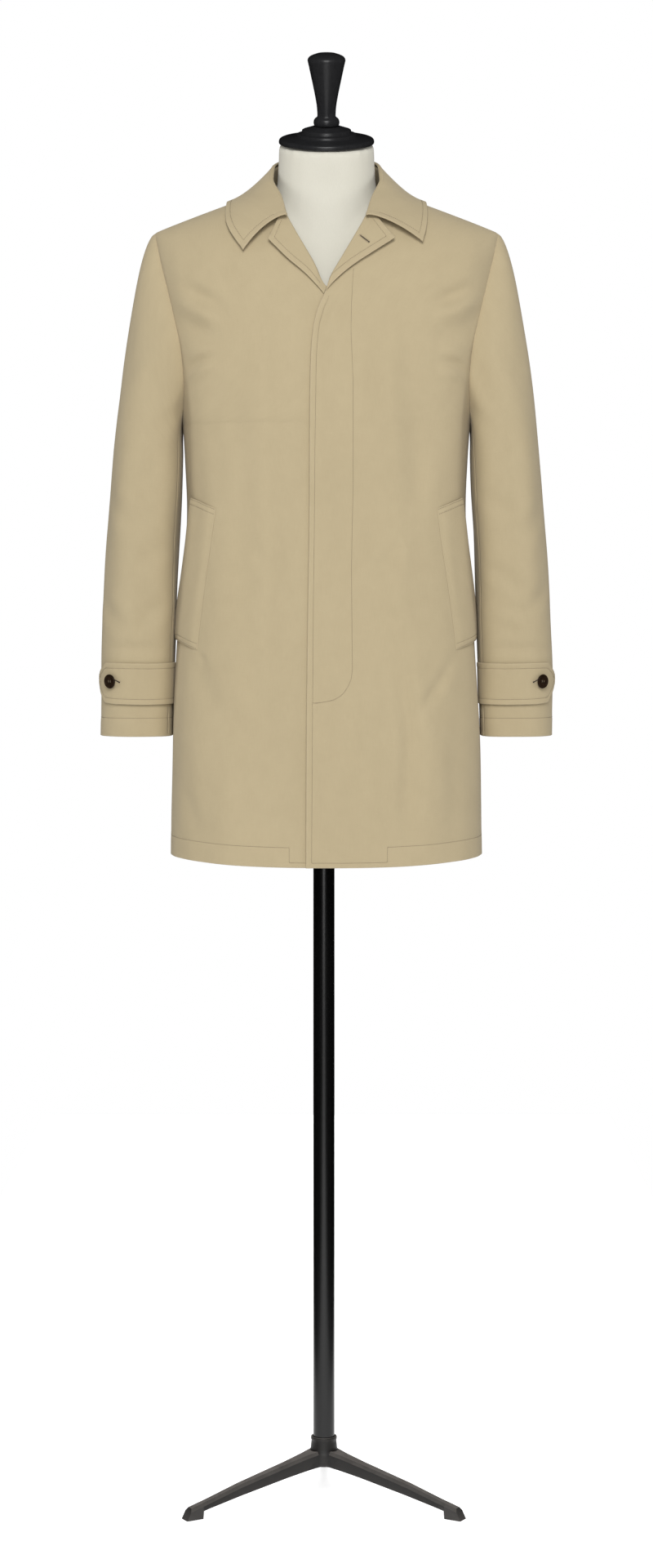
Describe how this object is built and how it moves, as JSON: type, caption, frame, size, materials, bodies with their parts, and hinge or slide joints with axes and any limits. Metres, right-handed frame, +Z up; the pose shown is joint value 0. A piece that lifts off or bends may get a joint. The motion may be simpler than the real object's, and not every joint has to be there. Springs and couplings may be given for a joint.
{
  "type": "raincoat on dress form stand",
  "caption": "Thigh-length raincoat with turned-down collar, small lapels, hidden fly, slanted welt pockets and tabbed cuffs, worn by a limbless dress form on a pole and tripod base.",
  "frame": {"origin": "on the floor, at the middle of the whole object's bounding box seen from above", "axes": "+Z up from the floor along the pole, +Y to the coat's back, so the front faces -Y; +X to the wearer's left"},
  "size_m": [0.614, 0.3661, 1.9387],
  "materials": {
    "coat_cloth": "dense beige cotton weave, matt",
    "horn_button": "dark brown, softly polished",
    "form_cover": "cream jersey, stretched smooth",
    "black_wood": "black paint, satin",
    "black_pole": "black, glossy",
    "cast_base": "dark brown-black, half matt"
  },
  "bodies": {
    "root": {"front_left": "coat_cloth", "front_right": "coat_cloth", "back": "coat_cloth", "top_sleeve_left": "coat_cloth", "top_sleeve_right": "coat_cloth", "under_sleeve_left": "coat_cloth", "under_sleeve_right": "coat_cloth", "collar": "coat_cloth", "collar_stand": "coat_cloth", "lapel_left": "coat_cloth", "lapel_right": "coat_cloth", "pocket_welt_left": "coat_cloth", "pocket_welt_right": "coat_cloth", "cuff_tab_left": "coat_cloth", "cuff_tab_right": "coat_cloth", "cuff_button_left": "horn_button", "cuff_button_right": "horn_button", "dress_form": "form_cover", "neck_cap": "black_wood", "finial": "black_wood", "pole": "black_pole", "tripod_base": "cast_base"}
  },
  "joints": []
}
